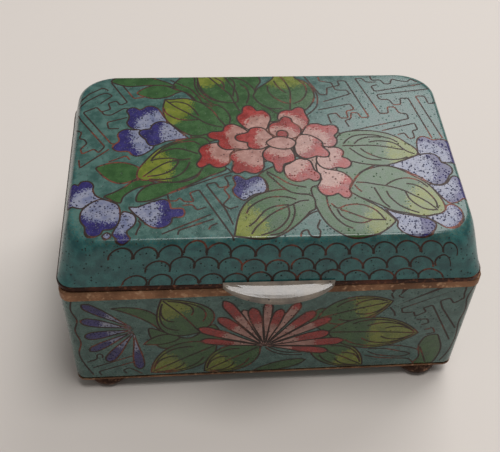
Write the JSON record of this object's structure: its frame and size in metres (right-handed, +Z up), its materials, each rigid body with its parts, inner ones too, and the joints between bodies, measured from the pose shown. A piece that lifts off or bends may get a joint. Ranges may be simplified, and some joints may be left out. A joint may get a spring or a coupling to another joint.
{
  "type": "cloisonne enamel box",
  "caption": "Small rectangular cloisonne enamel box on bun feet, with a hollow base, a lift-off domed lid, copper rims and a crescent thumb lip in front.",
  "frame": {"origin": "on the surface the box stands on, under the middle of its bounding box", "axes": "+X to the right and -Y to the front, square to the lid; +Z up"},
  "size_m": [0.1008, 0.0712, 0.0543],
  "materials": {
    "enamel_lid": "polished turquoise enamel with flush copper wires, pitted and dotted with age",
    "enamel_base": "polished turquoise enamel with flush copper wires, pitted and dotted with age",
    "enamel_lip": "worn grey-green enamel, slightly iridescent, with a bare copper edge",
    "copper_bright": "rubbed copper, brown in the hollows",
    "copper_dark": "dark brown patinated copper"
  },
  "bodies": {
    "root": {"base_body": "enamel_base", "base_rim": "copper_bright", "bottom_rim": "copper_bright", "foot_front_left": "copper_dark", "foot_front_right": "copper_dark", "foot_back_left": "copper_dark", "foot_back_right": "copper_dark", "lid_shell": "enamel_lid", "lid_rim": "copper_dark", "thumb_lip": "enamel_lip"}
  },
  "joints": []
}
